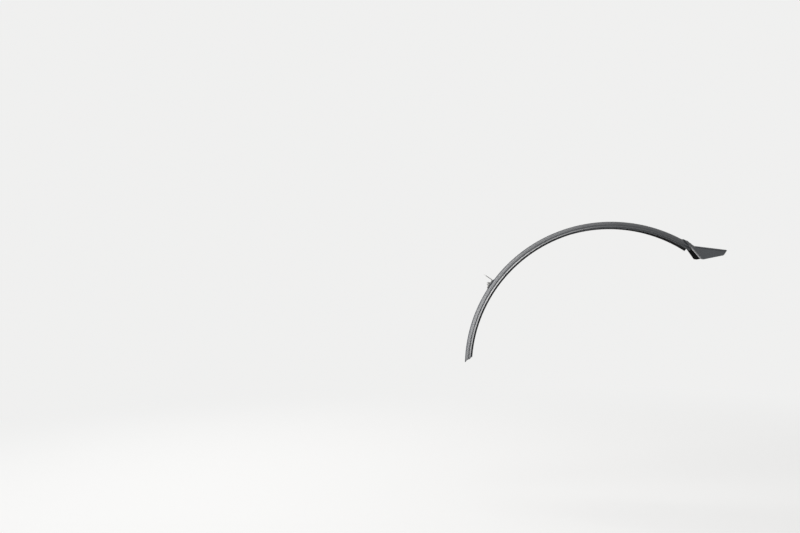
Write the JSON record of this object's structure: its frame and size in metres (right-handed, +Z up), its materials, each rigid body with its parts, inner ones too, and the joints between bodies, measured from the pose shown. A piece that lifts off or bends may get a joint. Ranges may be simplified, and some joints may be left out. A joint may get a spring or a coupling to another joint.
{
  "type": "bicycle mudguard",
  "caption": "Arched plastic rear mudguard for a wide-tyred bicycle wheel, with a humped channel section, a sleeved tail spoiler and a steel bracket that hangs it from the brake bridge.",
  "frame": {"origin": "centre of the bracket's bridge hole, on the face that meets the brake bridge", "axes": "+X rearward along the bicycle, +Y to the bicycle's right, +Z up; the mudguard hangs as it is used"},
  "size_m": [0.6555, 0.0752, 0.3581],
  "materials": {
    "blade_plastic": "satin black moulded plastic",
    "spoiler_plastic": "satin black moulded plastic",
    "rivet_nylon": "black nylon",
    "bracket_steel": "plain stainless strip",
    "fastener_steel": "plain stainless"
  },
  "bodies": {
    "root": {"blade": "blade_plastic", "spoiler": "spoiler_plastic", "spoiler_rivet_left": "rivet_nylon", "spoiler_rivet_right": "rivet_nylon", "bridge_bracket": "bracket_steel", "bracket_washer": "fastener_steel", "bracket_screw": "fastener_steel", "bracket_nut": "fastener_steel"}
  },
  "joints": []
}
